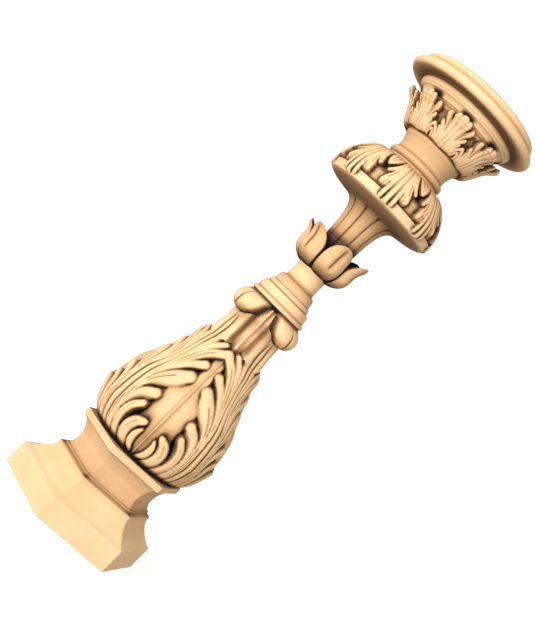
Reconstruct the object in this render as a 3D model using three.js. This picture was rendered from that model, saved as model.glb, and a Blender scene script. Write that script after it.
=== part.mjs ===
// A carved stone baluster: hexagonal plinth, leafed bulb and shaft, ringed collar, tulip,
// fluted stem, leafed canopy, leafed cup and round cap, all cut from one block.
// Millimetres, +Z up, origin at the middle of the underside.
// Azimuth 0 is the front, -Y, and grows towards +X.

import * as THREE from 'three';

// Plinth: heights from the underside up, and radii to the corners
const plinthSides = 6;
const plinthTurn = 15;
const blockHeight = 36.5;
const blockRadius = 117;
const cavettoHeight = 34;
const lipRadius = 85;
const lipStep = 11;
const lipGroove = 6.5;
const coveHeight = 43.7;
const coveRadius = 70;
const plateEdge = 8.8;
const plateRadius = 88;

// Body: four leaves between four straps
const bodyFolds = 4;
const leafHeight = 194;
const footSetback = 4.6;
const bulgeRadius = 98.5;
const panelDepth = 7;
const panelHollow = 5;
const slitDepth = 5;
const strapDepth = 3.2;
const midribHeight = 2;

// Shaft above the leaves, with its hooded bracts
const shaftHeight = 81;
const shaftRadius = 44;
const shaftPanelDepth = 8.5;
const shaftRibHeight = 4.5;
const bractHeight = 38;
const bractSlope = 33;
const bractProud = 20.5;

// Collar rings and the throat above them
const collarHeight = 45;
const collarSteps = [45.4, 41, 35.5, 31];
const collarGroove = 2.6;
const throatHeight = 24;
const throatRadius = 24;

// Tulip
const petals = 6;
const tulipHeight = 55;
const tulipRadius = 48.5;
const tipFlare = 6;
const petalThickness = 4.5;
const petalCrease = 2;
const petalGap = 10;

// Stem
const flutes = 10;
const fluteTurn = 2;
const stemHeight = 108;
const stemRadius = 26.5;
const stemHeadRadius = 36;
const fluteDepth = 2.2;

// Canopy
const crownLeaves = 8;
const canopyFlare = 18;
const canopyHeight = 67;
const canopyRadius = 89.7;
const canopyFascia = 9.6;
const canopyRelief = 8;

// Torus and upper neck
const torusHeight = 15;
const torusRadius = 46.2;
const neckHeight = 23;
const neckRadius = 41.2;

// Cup
const cupHeight = 50;
const cupRadius = 69.5;
const cupTongue = 13.5;
const cupRelief = 6;

// Cap
const bandHeight = 17;
const bandRadius = 82;
const capHeight = 28.5;
const flangeRadius = 107.8;
const upperRingRadius = 97.5;
const topRadius = 88;

const stoneColour = 0xf3d3a0;

const degree = Math.PI / 180;
const { lerp, clamp, smoothstep } = THREE.MathUtils;

// Heights of the joins between the zones
const blockTop = blockHeight;
const cavettoTop = blockTop + cavettoHeight;
const coveBottom = cavettoTop + lipGroove;
const coveTop = coveBottom + coveHeight;
const plateTop = coveTop + plateEdge;
const leafTop = plateTop + leafHeight;
const shaftTop = leafTop + shaftHeight;
const collarTop = shaftTop + collarHeight;
const throatTop = collarTop + throatHeight;
const stemTop = throatTop + stemHeight;
const canopyRim = stemTop + canopyFlare;
const canopyTop = canopyRim + canopyHeight;
const torusTop = canopyTop + torusHeight;
const cupBottom = torusTop + neckHeight;
const cupTop = cupBottom + cupHeight;
const bandTop = cupTop + bandHeight;
const capTop = bandTop + capHeight;

// A smooth curve through [place, value] stations, flat beyond its ends
function flow(stations, place) {
  const last = stations.length - 1;
  if (place <= stations[0][0]) return stations[0][1];
  if (place >= stations[last][0]) return stations[last][1];
  const next = stations.findIndex(([at]) => at > place);
  const slope = (i) => {
    const before = stations[Math.max(i - 1, 0)];
    const after = stations[Math.min(i + 1, last)];
    return (after[1] - before[1]) / (after[0] - before[0]);
  };
  const [x0, y0] = stations[next - 1];
  const [x1, y1] = stations[next];
  const span = x1 - x0;
  const t = (place - x0) / span;
  const rise = y1 - y0;
  const bend0 = slope(next - 1) * span - rise;
  const bend1 = rise - slope(next) * span;
  return y0 + rise * t + t * (1 - t) * (bend0 * (1 - t) + bend1 * t);
}

// Azimuths of the columns: the angles of one half fold, mirrored and turned round the axis
function columnsOf(folds, halfFold, turn = 0) {
  const sector = 360 / folds;
  const all = [];
  for (let fold = 0; fold < folds; fold += 1) {
    const middle = turn + fold * sector;
    halfFold.forEach((angle) => {
      all.push(middle + angle);
      if (angle > 0 && angle < sector / 2) all.push(middle - angle);
    });
  }
  return all.sort((a, b) => a - b);
}

// Angle from the middle of the nearest fold, 0 to half a sector
function fromMiddle(azimuth, folds, turn = 0) {
  const sector = 360 / folds;
  const angle = THREE.MathUtils.euclideanModulo(azimuth - turn + sector / 2, sector) - sector / 2;
  return Math.abs(angle);
}

// One ring of points, with its radius and height worked out at each azimuth
function ring(columns, place) {
  const points = columns.map((azimuth) => {
    const [radius, height] = place(azimuth);
    const angle = azimuth * degree;
    return new THREE.Vector3(radius * Math.sin(angle), -radius * Math.cos(angle), height);
  });
  return { columns, points };
}

function roundRing(columns, radius, height) {
  return ring(columns, () => [radius, height]);
}

// Skin between two rings with any columns: each step takes the side whose next edge is nearer
function zip(lower, upper, addFace) {
  const a = lower.columns;
  const b = upper.columns;
  const angleOf = (list, i) => list[i % list.length] + 360 * Math.floor(i / list.length);
  const middleOf = (list, i) => (angleOf(list, i) + angleOf(list, i + 1)) / 2;
  let start = 0;
  for (let j = 1; j < b.length; j += 1) {
    if (Math.abs(b[j] - a[0]) < Math.abs(b[start] - a[0])) start = j;
  }
  let i = 0;
  let j = start;
  while (i < a.length || j < start + b.length) {
    const takeLower = j === start + b.length || (i < a.length && middleOf(a, i) <= middleOf(b, j));
    const low = lower.points[i % a.length];
    const high = upper.points[j % b.length];
    if (takeLower) {
      addFace(low, lower.points[(i + 1) % a.length], high);
      i += 1;
    } else {
      addFace(low, upper.points[(j + 1) % b.length], high);
      j += 1;
    }
  }
}

// Skin between two rings that share their columns, each quad split along its shorter diagonal
function weave(lower, upper, addFace) {
  lower.points.forEach((a, i) => {
    const next = (i + 1) % lower.points.length;
    const b = lower.points[next];
    const c = upper.points[next];
    const d = upper.points[i];
    if (a.distanceTo(c) <= b.distanceTo(d)) {
      addFace(a, b, c);
      addFace(a, c, d);
    } else {
      addFace(a, b, d);
      addFace(b, c, d);
    }
  });
}

// The closed solid through a stack of rings, with flat ends
function stackSolid(rings) {
  const places = [];
  const faces = [];
  const indexOf = new Map();
  const indexFor = (point) => {
    if (!indexOf.has(point)) {
      indexOf.set(point, places.length / 3);
      places.push(point.x, point.y, point.z);
    }
    return indexOf.get(point);
  };
  const addFace = (a, b, c) => faces.push(indexFor(a), indexFor(b), indexFor(c));
  const closeEnd = ({ points }, up) => {
    const centre = new THREE.Vector3(0, 0, points[0].z);
    points.forEach((point, i) => {
      const next = points[(i + 1) % points.length];
      if (up) addFace(centre, point, next);
      else addFace(centre, next, point);
    });
  };
  closeEnd(rings[0], false);
  for (let k = 0; k + 1 < rings.length; k += 1) {
    const join = rings[k].columns === rings[k + 1].columns ? weave : zip;
    join(rings[k], rings[k + 1], addFace);
  }
  closeEnd(rings[rings.length - 1], true);
  const geometry = new THREE.BufferGeometry();
  geometry.setAttribute('position', new THREE.Float32BufferAttribute(places, 3));
  geometry.setIndex(faces);
  return geometry;
}

// Hexagonal plinth: block, hollow cavetto, lip, cove and top plate
function plinthRings() {
  const corners = columnsOf(plinthSides, [180 / plinthSides], plinthTurn);
  const rings = [];
  const add = (radius, height) => rings.push(roundRing(corners, radius, height));
  add(blockRadius, 0);
  add(blockRadius, blockTop);
  const hollowSteps = 4;
  const hollowBow = 2.2;
  for (let k = 1; k <= hollowSteps; k += 1) {
    const share = k / hollowSteps;
    const out = (1 - share) ** hollowBow;
    add(lerp(lipRadius, blockRadius, out), lerp(blockTop, cavettoTop, share));
  }
  add(lipRadius - lipStep * 0.35, cavettoTop + lipGroove * 0.3);
  add(lipRadius - lipStep, coveBottom);
  const coveSteps = 5;
  const waistAt = 0.32;
  for (let k = 1; k <= coveSteps; k += 1) {
    const share = k / coveSteps;
    const below = share < waistAt;
    const away = below ? (waistAt - share) / waistAt : (share - waistAt) / (1 - waistAt);
    const outer = below ? lipRadius - lipStep : plateRadius - plateEdge * 0.25;
    add(lerp(coveRadius, outer, away ** 2), lerp(coveBottom, coveTop, share));
  }
  add(plateRadius, coveTop + plateEdge * 0.25);
  add(plateRadius, plateTop);
  return rings;
}

const plateApothem = plateRadius * Math.cos(Math.PI / plinthSides);
const footRadius = plateApothem - footSetback;

// Crest radius of the carving up the leaf, in shares of the leaf's height and of the bulge
const crestShares = [
  [0, footRadius / bulgeRadius], [0.04, 0.825], [0.126, 0.94], [0.22, 1], [0.3, 0.995], [0.4, 0.97],
  [0.52, 0.91], [0.6, 0.83], [0.68, 0.735], [0.76, 0.66], [0.84, 0.605], [0.92, 0.55], [1, 0.487],
];

function crestRadius(share) {
  return bulgeRadius * flow(crestShares, share);
}

// The leaf's lobes, from the lowest curl to the flank of the shaft. Each centre line runs from
// its root to its tip through four places, in degrees from the midrib and shares of the leaf's
// height. Half widths are millimetres along it, and lift is how far the tip stands out.
const leafLobes = [
  { line: [[3.2, 0.03], [8.7, 0.09], [9.3, 0.16], [7.2, 0.213]], halfWidths: [2, 5.2, 5, 2.8], lift: -2 },
  { line: [[13, 0], [18.8, 0.12], [16, 0.215], [9.6, 0.264]], halfWidths: [5, 10, 9, 5], lift: 1.5 },
  { line: [[25.5, 0], [29.6, 0.14], [27.6, 0.265], [21, 0.341]], halfWidths: [5, 7.4, 7, 5.6], lift: 1.5 },
  { line: [[34.2, 0], [34.4, 0.24], [30.5, 0.377], [20.8, 0.442]], halfWidths: [2, 3, 8, 8], lift: 0.5 },
  { line: [[36, 0], [35.6, 0.4], [27, 0.575], [12.8, 0.676]], halfWidths: [2, 3, 11, 9.4], lift: 1 },
  { line: [[37.9, 0], [37.2, 0.5], [29, 0.7], [12, 0.8]], halfWidths: [2, 3, 6.2, 7.8], lift: 2 },
  { line: [[38.4, 0.3], [38, 0.6], [24, 0.85], [0, 0.957]], halfWidths: [2, 3, 7.2, 7], lift: 3.5 },
  { line: [[39.9, 0], [39.3, 0.68], [29.5, 0.915], [17, 1]], halfWidths: [2, 3, 5, 3], lift: 2.5 },
];
const lobeSteps = 14;
const lobeFullness = 0.8;

function tracedLobe({ line, halfWidths, lift }) {
  const alongLine = (values, t) => flow(values.map((value, i) => [i / (values.length - 1), value]), t);
  const turns = line.map(([turn]) => turn);
  const shares = line.map(([, share]) => share);
  const trace = [];
  for (let k = 0; k <= lobeSteps; k += 1) {
    const t = k / lobeSteps;
    const share = alongLine(shares, t);
    trace.push({
      across: alongLine(turns, t) * degree * crestRadius(share),
      up: share * leafHeight,
      halfWidth: alongLine(halfWidths, t),
      lift: lift * t ** 3,
    });
  }
  return trace;
}

const lobeTraces = leafLobes.map(tracedLobe);

// Height of a lobe over the crest radius at a place: a round back along its centre line
function lobeHeight(trace, across, up) {
  let best = -Infinity;
  for (let k = 0; k + 1 < trace.length; k += 1) {
    const from = trace[k];
    const to = trace[k + 1];
    const runX = to.across - from.across;
    const runZ = to.up - from.up;
    const along = ((across - from.across) * runX + (up - from.up) * runZ) / (runX ** 2 + runZ ** 2);
    const t = clamp(along, 0, 1);
    const gap = Math.hypot(across - from.across - runX * t, up - from.up - runZ * t);
    const halfWidth = lerp(from.halfWidth, to.halfWidth, t);
    if (gap < halfWidth) {
      const sink = lobeFullness * halfWidth * (1 - Math.sqrt(1 - (gap / halfWidth) ** 2));
      best = Math.max(best, lerp(from.lift, to.lift, t) - sink);
    }
  }
  return best;
}

// Radius of the leafed bulb: crest, less the hollowed panel or the deeper slits between lobes
const strapHalfWidth = 4.2;

function leafRadius(azimuth, share) {
  const angle = fromMiddle(azimuth, bodyFolds);
  const crest = crestRadius(share);
  const spoon = panelHollow * Math.exp(-(((share - 0.2) / 0.1) ** 2));
  const slit = slitDepth * smoothstep(angle, 5, 9) * smoothstep(share, 0.5, 0.6);
  const floor = lerp(panelDepth + spoon + slit, strapDepth, smoothstep(angle, 27, 36));
  const rib = share < 0.93 ? midribHeight * Math.max(0, 1 - angle / 3) : 0;
  const across = angle * degree * crest;
  const up = share * leafHeight;
  const lobes = lobeTraces.map((trace) => lobeHeight(trace, across, up));
  const offStrap = (180 / bodyFolds - angle) / strapHalfWidth;
  const strap = offStrap < 1 ? -strapDepth * offStrap ** 4 : -Infinity;
  const grown = smoothstep(share, 0, 0.07);
  return crest + grown * Math.max(rib - floor, strap, ...lobes);
}

// Radius of the shaft: four round columns with a ribbed panel between each pair
function shaftRadiusAt(azimuth, share) {
  const angle = fromMiddle(azimuth, bodyFolds);
  const column = lerp(crestRadius(1), shaftRadius, Math.sin(Math.min(share * 2, 1) * 90 * degree));
  const recess = shaftPanelDepth * (1 - smoothstep(angle, 14, 20));
  const rib = shaftRibHeight * Math.max(0, 1 - angle / 4);
  const groove = strapDepth * 0.7 * Math.max(0, 1 - Math.abs(angle - 39) / 3);
  return column - recess + rib - groove;
}

const bodyHalfFold = [0, 3, 7.5, 12, 17, 21.5, 26, 30.5, 35, 39.5, 45];

// Rows of the leaf: shares of its height at the midrib, close together where its slits run
const leafRows = [
  0.035, 0.08, 0.125, 0.17, 0.215, 0.26, 0.31, 0.36, 0.41, 0.46, 0.51, 0.56,
  0.605, 0.642, 0.68, 0.73, 0.773, 0.81, 0.845, 0.878, 0.92, 0.96, 1,
];
const rowSag = 0.14;

function bodyRings() {
  const columns = columnsOf(bodyFolds, bodyHalfFold);
  const rings = [roundRing(columns, footRadius, plateTop)];
  leafRows.forEach((share) => {
    const sag = rowSag * Math.sin(share ** 1.5 * Math.PI);
    rings.push(ring(columns, (azimuth) => {
      const reach = Math.min(fromMiddle(azimuth, bodyFolds), 36) / 27;
      const here = share - sag * reach ** 1.3;
      return [leafRadius(azimuth, here), plateTop + here * leafHeight];
    }));
  });
  const bractFoot = shaftTop - bractHeight;
  const bractEdge = (angle) => bractFoot + bractSlope * clamp((45 - angle) / 36, 0, 1) ** 3;
  const shaftRow = (heightAt, proud) => ring(columns, (azimuth) => {
    const angle = fromMiddle(azimuth, bodyFolds);
    const height = heightAt(angle);
    const across = clamp((angle - 12) / 33, 0, 1);
    const round = Math.sqrt(1 - (1 - across) ** 2.4);
    return [shaftRadiusAt(azimuth, (height - leafTop) / shaftHeight) + proud * round, height];
  });
  rings.push(shaftRow(() => leafTop + 3, 0));
  rings.push(shaftRow(() => leafTop + 22, 0));
  rings.push(shaftRow((angle) => bractEdge(angle) - 2, 0));
  rings.push(shaftRow((angle) => bractEdge(angle), bractProud * 0.55));
  rings.push(shaftRow((angle) => lerp(bractEdge(angle), shaftTop, 0.3), bractProud));
  rings.push(shaftRow((angle) => lerp(bractEdge(angle), shaftTop, 0.6), bractProud * 0.93));
  rings.push(shaftRow((angle) => lerp(bractEdge(angle), shaftTop, 0.85), bractProud * 0.5));
  return rings;
}

// Columns of the turned parts
const collarColumns = 20;
const neckColumns = 24;
const capColumns = 32;

// Stepped collar rings, then the round throat
function collarRings() {
  const columns = columnsOf(collarColumns, [0]);
  const rings = [];
  const step = collarHeight / collarSteps.length;
  collarSteps.forEach((radius, k) => {
    const foot = shaftTop + k * step;
    rings.push(roundRing(columns, radius - collarGroove, foot));
    rings.push(roundRing(columns, radius, foot + step * 0.2));
    rings.push(roundRing(columns, radius - 1, foot + step * 0.85));
  });
  rings.push(roundRing(columns, throatRadius, collarTop));
  rings.push(roundRing(columns, throatRadius, throatTop));
  return rings;
}

// Tulip: outer skin of the petals, their lips, and the hollow behind them
function tulipRings() {
  const columns = columnsOf(petals, [0, 4, 14, 23, 30], plinthTurn);
  const bellShares = [[0, 0.6], [0.1, 0.72], [0.26, 0.92], [0.55, 1], [0.85, 1.02]];
  const petalRow = (share, crease, gap) => ring(columns, (azimuth) => {
    const angle = fromMiddle(azimuth, petals, plinthTurn);
    const edge = smoothstep(angle, 22, 30);
    const dip = angle < 2 ? crease : 0;
    const radius = tulipRadius * flow(bellShares, share) * (1 - 0.0001 * angle ** 2);
    return [radius - dip - gap * edge, throatTop + tulipHeight * share * (1 - 0.12 * edge)];
  });
  const lipShare = (angle) => 1 - 0.1 * smoothstep(angle, 0, 18) - 0.42 * smoothstep(angle, 16, 30);
  const lipRow = (inset, drop) => ring(columns, (azimuth) => {
    const angle = fromMiddle(azimuth, petals, plinthTurn);
    const edge = smoothstep(angle, 15, 30);
    const radius = tulipRadius + tipFlare * (1 - edge) - petalGap * edge - inset;
    return [radius, throatTop + tulipHeight * lipShare(angle) - drop];
  });
  const hollowFloor = throatTop + tulipHeight * 0.5;
  return [
    petalRow(0.08, 0, 1),
    petalRow(0.25, 0, petalGap * 0.7),
    petalRow(0.5, petalCrease, petalGap * 0.95),
    lipRow(tipFlare * 0.9, tulipHeight * 0.07),
    lipRow(0, 0),
    lipRow(petalThickness, 0.6),
    lipRow(tipFlare + petalThickness + 3, tulipHeight * 0.12),
    roundRing(columns, stemRadius + 2, hollowFloor),
  ];
}

// Fluted stem, spreading under the canopy
function stemRings() {
  const columns = columnsOf(flutes, [0, 180 / flutes], fluteTurn);
  const stemFoot = throatTop + tulipHeight * 0.52;
  const rows = [0, 0.35, 0.65, 0.86, 1];
  const spread = [[0, 0], [0.35, 0.1], [0.65, 0.33], [0.86, 0.63], [1, 1]];
  return rows.map((share) => ring(columns, (azimuth) => {
    const groove = fromMiddle(azimuth, flutes, fluteTurn) > 1 ? 1 : 0;
    const radius = lerp(stemRadius, stemHeadRadius, flow(spread, share));
    return [radius - fluteDepth * groove, lerp(stemFoot, stemTop, share)];
  }));
}

// Across half a crown leaf: midrib, vein, side lobe and the gap to the next leaf
const crownHalfFold = [0, 7.5, 15, 22.5];

function crownSection(azimuth, depths) {
  const step = fromMiddle(azimuth, crownLeaves) / (180 / crownLeaves) * 3;
  return flow(depths.map((depth, i) => [i, depth]), step);
}

// Canopy: flared underside, plain fascia, and leaves that hang over its edge
function canopyRings() {
  const columns = columnsOf(crownLeaves, crownHalfFold);
  const leafRow = (share, radiusShare, depths, drops = [0, 0, 0, 0]) => ring(columns, (azimuth) => [
    canopyRadius * radiusShare - canopyRelief * crownSection(azimuth, depths),
    lerp(canopyRim, canopyTop, share) - crownSection(azimuth, drops),
  ]);
  const fasciaShare = canopyFascia / canopyHeight;
  const underside = (share, radiusShare) => roundRing(
    columns,
    lerp(stemHeadRadius, canopyRadius, radiusShare),
    lerp(stemTop, canopyRim, share),
  );
  return [
    underside(0.35, 0.2),
    underside(0.65, 0.5),
    underside(0.92, 0.86),
    leafRow(0, 0.985, [0, 0.3, 0.3, 0.3], [1.5, 0, 0, 0]),
    leafRow(fasciaShare, 0.995, [0, 0.3, 0.3, 0.3]),
    leafRow(fasciaShare + 0.04, 1, [0, 0.7, 0.1, 1]),
    leafRow(0.37, 0.985, [0, 0.45, 0.05, 1.1]),
    leafRow(0.52, 0.945, [0, 0.5, 0.15, 1.2]),
    leafRow(0.66, 0.875, [0, 0.45, 0.4, 0.1]),
    leafRow(0.8, 0.79, [0, 0.4, 0.25, 0]),
    leafRow(0.92, 0.68, [0, 0.3, 0.15, 0.15]),
    leafRow(0.965, 0.52, [0, 0, 0, 0]),
  ];
}

// Fillet and torus over the canopy, then the waist under the cup
function neckRings() {
  const columns = columnsOf(neckColumns, [0]);
  const add = (radius, height) => roundRing(columns, radius, height);
  return [
    add(torusRadius, canopyTop),
    add(torusRadius - 2, canopyTop + torusHeight * 0.15),
    add(torusRadius + 0.3, canopyTop + torusHeight * 0.45),
    add(torusRadius - 1.5, canopyTop + torusHeight * 0.85),
    add(neckRadius, torusTop),
    add(neckRadius, torusTop + neckHeight * 0.35),
    add(neckRadius + 3, cupBottom - neckHeight * 0.1),
  ];
}

// Cup: leaves with scalloped feet, open gaps and tongues that curl out under the cap
function cupRings() {
  const columns = columnsOf(crownLeaves, crownHalfFold);
  const row = (share, radiusShare, depths, tongue = 0, drops = [0, 0, 0, 0]) => ring(columns, (azimuth) => {
    const curl = tongue * (1 - smoothstep(fromMiddle(azimuth, crownLeaves), 5, 9));
    return [
      cupRadius * radiusShare - cupRelief * crownSection(azimuth, depths) + cupTongue * curl,
      lerp(cupBottom, cupTop, share) - crownSection(azimuth, drops),
    ];
  });
  return [
    row(0.03, 0.73, [0, 0.4, 0, 0.5], 0, [0, -2, 0, -3]),
    row(0.12, 0.83, [0, 0.5, 0, 0.6]),
    row(0.25, 0.91, [0, 0.5, 0, 0.3]),
    row(0.4, 0.96, [0, 0.5, 0.1, 0.2]),
    row(0.56, 1, [0, 0.5, 0.1, 0.9], 0.1),
    row(0.74, 1.04, [0, 0.7, 0.1, 0.9], 0.35),
    row(0.86, 1.05, [0, 0.7, 0.75, 0.75], 0.95),
    row(0.93, 1.04, [0, 0.6, 0.6, 0.6], 0.8),
    row(0.965, 1.01, [0, 0, 0, 0], 0),
  ];
}

// Cap: moulded band, hollow, round flange and the upper ring
function capRings() {
  const columns = columnsOf(capColumns, [0]);
  const rings = [];
  const add = (radius, height) => rings.push(roundRing(columns, radius, height));
  add(bandRadius - 9, cupTop + bandHeight * 0.15);
  add(bandRadius - 4.5, cupTop + bandHeight * 0.42);
  add(bandRadius, bandTop - 2);
  add(bandRadius, bandTop);
  add(lerp(bandRadius, flangeRadius, 0.28), bandTop + capHeight * 0.13);
  add(lerp(bandRadius, flangeRadius, 0.7), bandTop + capHeight * 0.13);
  const noseCentre = bandTop + capHeight * 0.31;
  const nose = capHeight * 0.2;
  [-55, 0, 55].forEach((tilt) => {
    add(flangeRadius - nose * (1 - Math.cos(tilt * degree)), noseCentre + nose * Math.sin(tilt * degree));
  });
  add(upperRingRadius, bandTop + capHeight * 0.55);
  add(upperRingRadius, bandTop + capHeight * 0.78);
  add(lerp(upperRingRadius, topRadius, 0.4), bandTop + capHeight * 0.94);
  add(topRadius, capTop);
  return rings;
}

const stone = new THREE.MeshStandardMaterial({ color: stoneColour, roughness: 0.85, metalness: 0 });
const baluster = new THREE.Mesh(
  stackSolid([
    ...plinthRings(), ...bodyRings(), ...collarRings(), ...tulipRings(), ...stemRings(),
    ...canopyRings(), ...neckRings(), ...cupRings(), ...capRings(),
  ]),
  stone,
);
baluster.name = 'baluster';

const part = new THREE.Group();
part.add(baluster);

export default part;
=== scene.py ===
import bpy
import numpy as np
from mathutils import Matrix, Vector


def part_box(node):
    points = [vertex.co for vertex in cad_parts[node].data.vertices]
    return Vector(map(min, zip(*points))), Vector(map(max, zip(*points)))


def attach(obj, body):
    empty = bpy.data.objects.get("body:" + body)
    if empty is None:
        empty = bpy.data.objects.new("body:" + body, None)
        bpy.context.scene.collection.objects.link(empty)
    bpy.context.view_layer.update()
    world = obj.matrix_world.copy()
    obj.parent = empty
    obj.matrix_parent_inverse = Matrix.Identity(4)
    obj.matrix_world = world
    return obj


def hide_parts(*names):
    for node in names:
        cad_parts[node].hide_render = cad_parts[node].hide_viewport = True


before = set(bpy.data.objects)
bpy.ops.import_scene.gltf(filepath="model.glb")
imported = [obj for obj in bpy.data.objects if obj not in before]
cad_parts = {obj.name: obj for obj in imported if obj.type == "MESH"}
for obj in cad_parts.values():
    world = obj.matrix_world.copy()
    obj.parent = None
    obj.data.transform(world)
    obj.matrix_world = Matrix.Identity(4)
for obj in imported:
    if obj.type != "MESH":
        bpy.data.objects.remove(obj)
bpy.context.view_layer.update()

low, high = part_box("baluster")

# The stone is 800 units high, each a millimetre at its real size
MM = (high.z - low.z) / 800

# Joins between the carved zones, in millimetres above the underside, and the heights of some
# zones. From the stem up, the stations of a profile carry their own heights.
BLOCK_TOP = 36.5
LIP_TOP = 70.5
COVE_FOOT = 77.0
PLATE_TOP = 129.5
LEAF_HEIGHT = 194.0
LEAF_TOP = PLATE_TOP + LEAF_HEIGHT
SHAFT_HEIGHT = 81.0
SHAFT_TOP = LEAF_TOP + SHAFT_HEIGHT
COLLAR_TOP = SHAFT_TOP + 45.0
THROAT_TOP = COLLAR_TOP + 24.0
TULIP_HEIGHT = 55.0

# Repeats round the axis. The plinth and the tulip are turned from the front leaf.
PLINTH_SIDES = 6
PLINTH_TURN = 15.0
BODY_FOLDS = 4
PETALS = 6
FLUTES = 10
FLUTE_TURN = 20.0
CROWN_LEAVES = 8


def smooth(value, start, end):
    """0 before start, 1 after end, and 3t^2 - 2t^3 between them."""
    t = np.clip((value - start) / (end - start), 0, 1)
    return t * t * (3 - 2 * t)


def flow(stations, place):
    """A smooth curve through (place, value) stations: on each span a cubic whose end slopes are
    the slopes between the neighbouring stations, and flat beyond the first and last."""
    x, y = np.array(stations, float).T
    place = np.clip(place, x[0], x[-1])
    slope = np.empty_like(x)
    slope[1:-1] = (y[2:] - y[:-2]) / (x[2:] - x[:-2])
    slope[0] = (y[1] - y[0]) / (x[1] - x[0])
    slope[-1] = (y[-1] - y[-2]) / (x[-1] - x[-2])
    i = np.clip(np.searchsorted(x, place, side="right") - 1, 0, len(x) - 2)
    span = x[i + 1] - x[i]
    t = (place - x[i]) / span
    rise = y[i + 1] - y[i]
    bend0 = slope[i] * span - rise
    bend1 = rise - slope[i + 1] * span
    return y[i] + rise * t + t * (1 - t) * (bend0 * (1 - t) + bend1 * t)


def azimuths(count):
    """Degrees from the front, -Y, growing towards +X, for the columns of a grid."""
    return np.arange(count) * 360.0 / count - 180.0


def signed_fold(azimuth, folds, turn=0.0):
    """Degrees from the middle of the nearest of the folds, negative on its left."""
    sector = 360.0 / folds
    return (azimuth - turn + sector / 2) % sector - sector / 2


def polar(azimuth, radius, height):
    """Points from azimuth in degrees, radius and height, all broadcast to one grid."""
    azimuth, radius, height = np.broadcast_arrays(azimuth, radius, height)
    angle = np.radians(azimuth)
    return np.stack([radius * np.sin(angle), -radius * np.cos(angle), height], -1)


def add_shells(name, shells, crease=48, dusk=0.0, hidden=None):
    """One piece of several closed skins, each a grid (rows, columns, xyz) of rings with a fan at
    each end, in millimetres. Edges sharper than the crease angle stay sharp. Dusk is extra painted
    shade, where another piece stands close by, and hidden the shelter where it is known; with the
    shade of the large forms they are stored as painted shade in the shelter attribute."""
    hidden = hidden or [darkened(shell) for shell in shells]
    rows, columns = shells[0].shape[:2]
    places, corners, sizes, darkness = [], [], [], []
    row, column = np.meshgrid(np.arange(rows - 1), np.arange(columns), indexing="ij")
    right = (column + 1) % columns
    quads = np.stack([row * columns + column, row * columns + right,
                      (row + 1) * columns + right, (row + 1) * columns + column], -1).reshape(-1, 4)
    ring = np.arange(columns)
    after = (ring + 1) % columns
    last = (rows - 1) * columns
    foot = np.stack([np.full(columns, rows * columns), after, ring], -1)
    head = np.stack([np.full(columns, rows * columns + 1), last + ring, last + after], -1)
    per_shell = rows * columns + 2
    for k, shell in enumerate(shells):
        ends = np.stack([shell[0].mean(0), shell[-1].mean(0)])
        places.append(np.concatenate([shell.reshape(-1, 3), ends]))
        # Painted shade: the large forms' shelter, the piece's own and the dusk, kept as darkness
        # per point
        large = np.interp(shell[..., 2], OUTLINE_HEIGHTS, OUTLINE_HIDDEN)
        open_sky = (1 - hidden[k]) * (1 - large) * (1 - dusk)
        darkness.append(np.append((1 - open_sky).ravel(), [0, 0]))
        corners.append(np.concatenate([quads.ravel(), foot.ravel(), head.ravel()]) + k * per_shell)
        sizes.append(np.concatenate([np.full(len(quads), 4), np.full(2 * columns, 3)]))
    places = np.concatenate(places) * MM
    corners = np.concatenate(corners).astype(np.int32)
    sizes = np.concatenate(sizes).astype(np.int32)
    starts = np.concatenate([[0], np.cumsum(sizes)[:-1]]).astype(np.int32)
    mesh = bpy.data.meshes.new(name)
    mesh.vertices.add(len(places))
    mesh.vertices.foreach_set("co", places.astype(np.float32).ravel())
    mesh.loops.add(len(corners))
    mesh.loops.foreach_set("vertex_index", corners)
    mesh.polygons.add(len(sizes))
    mesh.polygons.foreach_set("loop_start", starts)
    mesh.update(calc_edges=True)
    mesh.validate()
    mesh.polygons.foreach_set("use_smooth", np.ones(len(mesh.polygons), bool))
    mesh.set_sharp_from_angle(angle=np.radians(crease))
    # The painted shade reaches the material through this attribute
    depth = mesh.attributes.new("shelter", "FLOAT", "POINT")
    depth.data.foreach_set("value", np.concatenate(darkness).astype(np.float32))
    piece = bpy.data.objects.new(name, mesh)
    bpy.context.scene.collection.objects.link(piece)
    piece.data.materials.append(stone)
    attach(piece, "root")
    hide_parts("baluster")
    return piece


def add_shell(name, azimuth, radius, height, **finish):
    """One closed skin: rows of a grid are rings round the axis, row 0 lowest on the outside."""
    return add_shells(name, [polar(azimuth, radius, height)], **finish)


# How far out the horizon is looked for, in steps along a grid, and the distances in millimetres
# over which what stands there stops counting
REACH = (1, 2, 3, 5, 8, 13, 20, 30)
FINE_REACH = (1, 2, 3, 4)
FADE = (25, 60)
FINE_FADE = (3, 6)
OUTLINE_FADE = (60, 160)

# Power of the open sky over the fine valleys in the painted shade
FINE_LINES = 0.9


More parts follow.
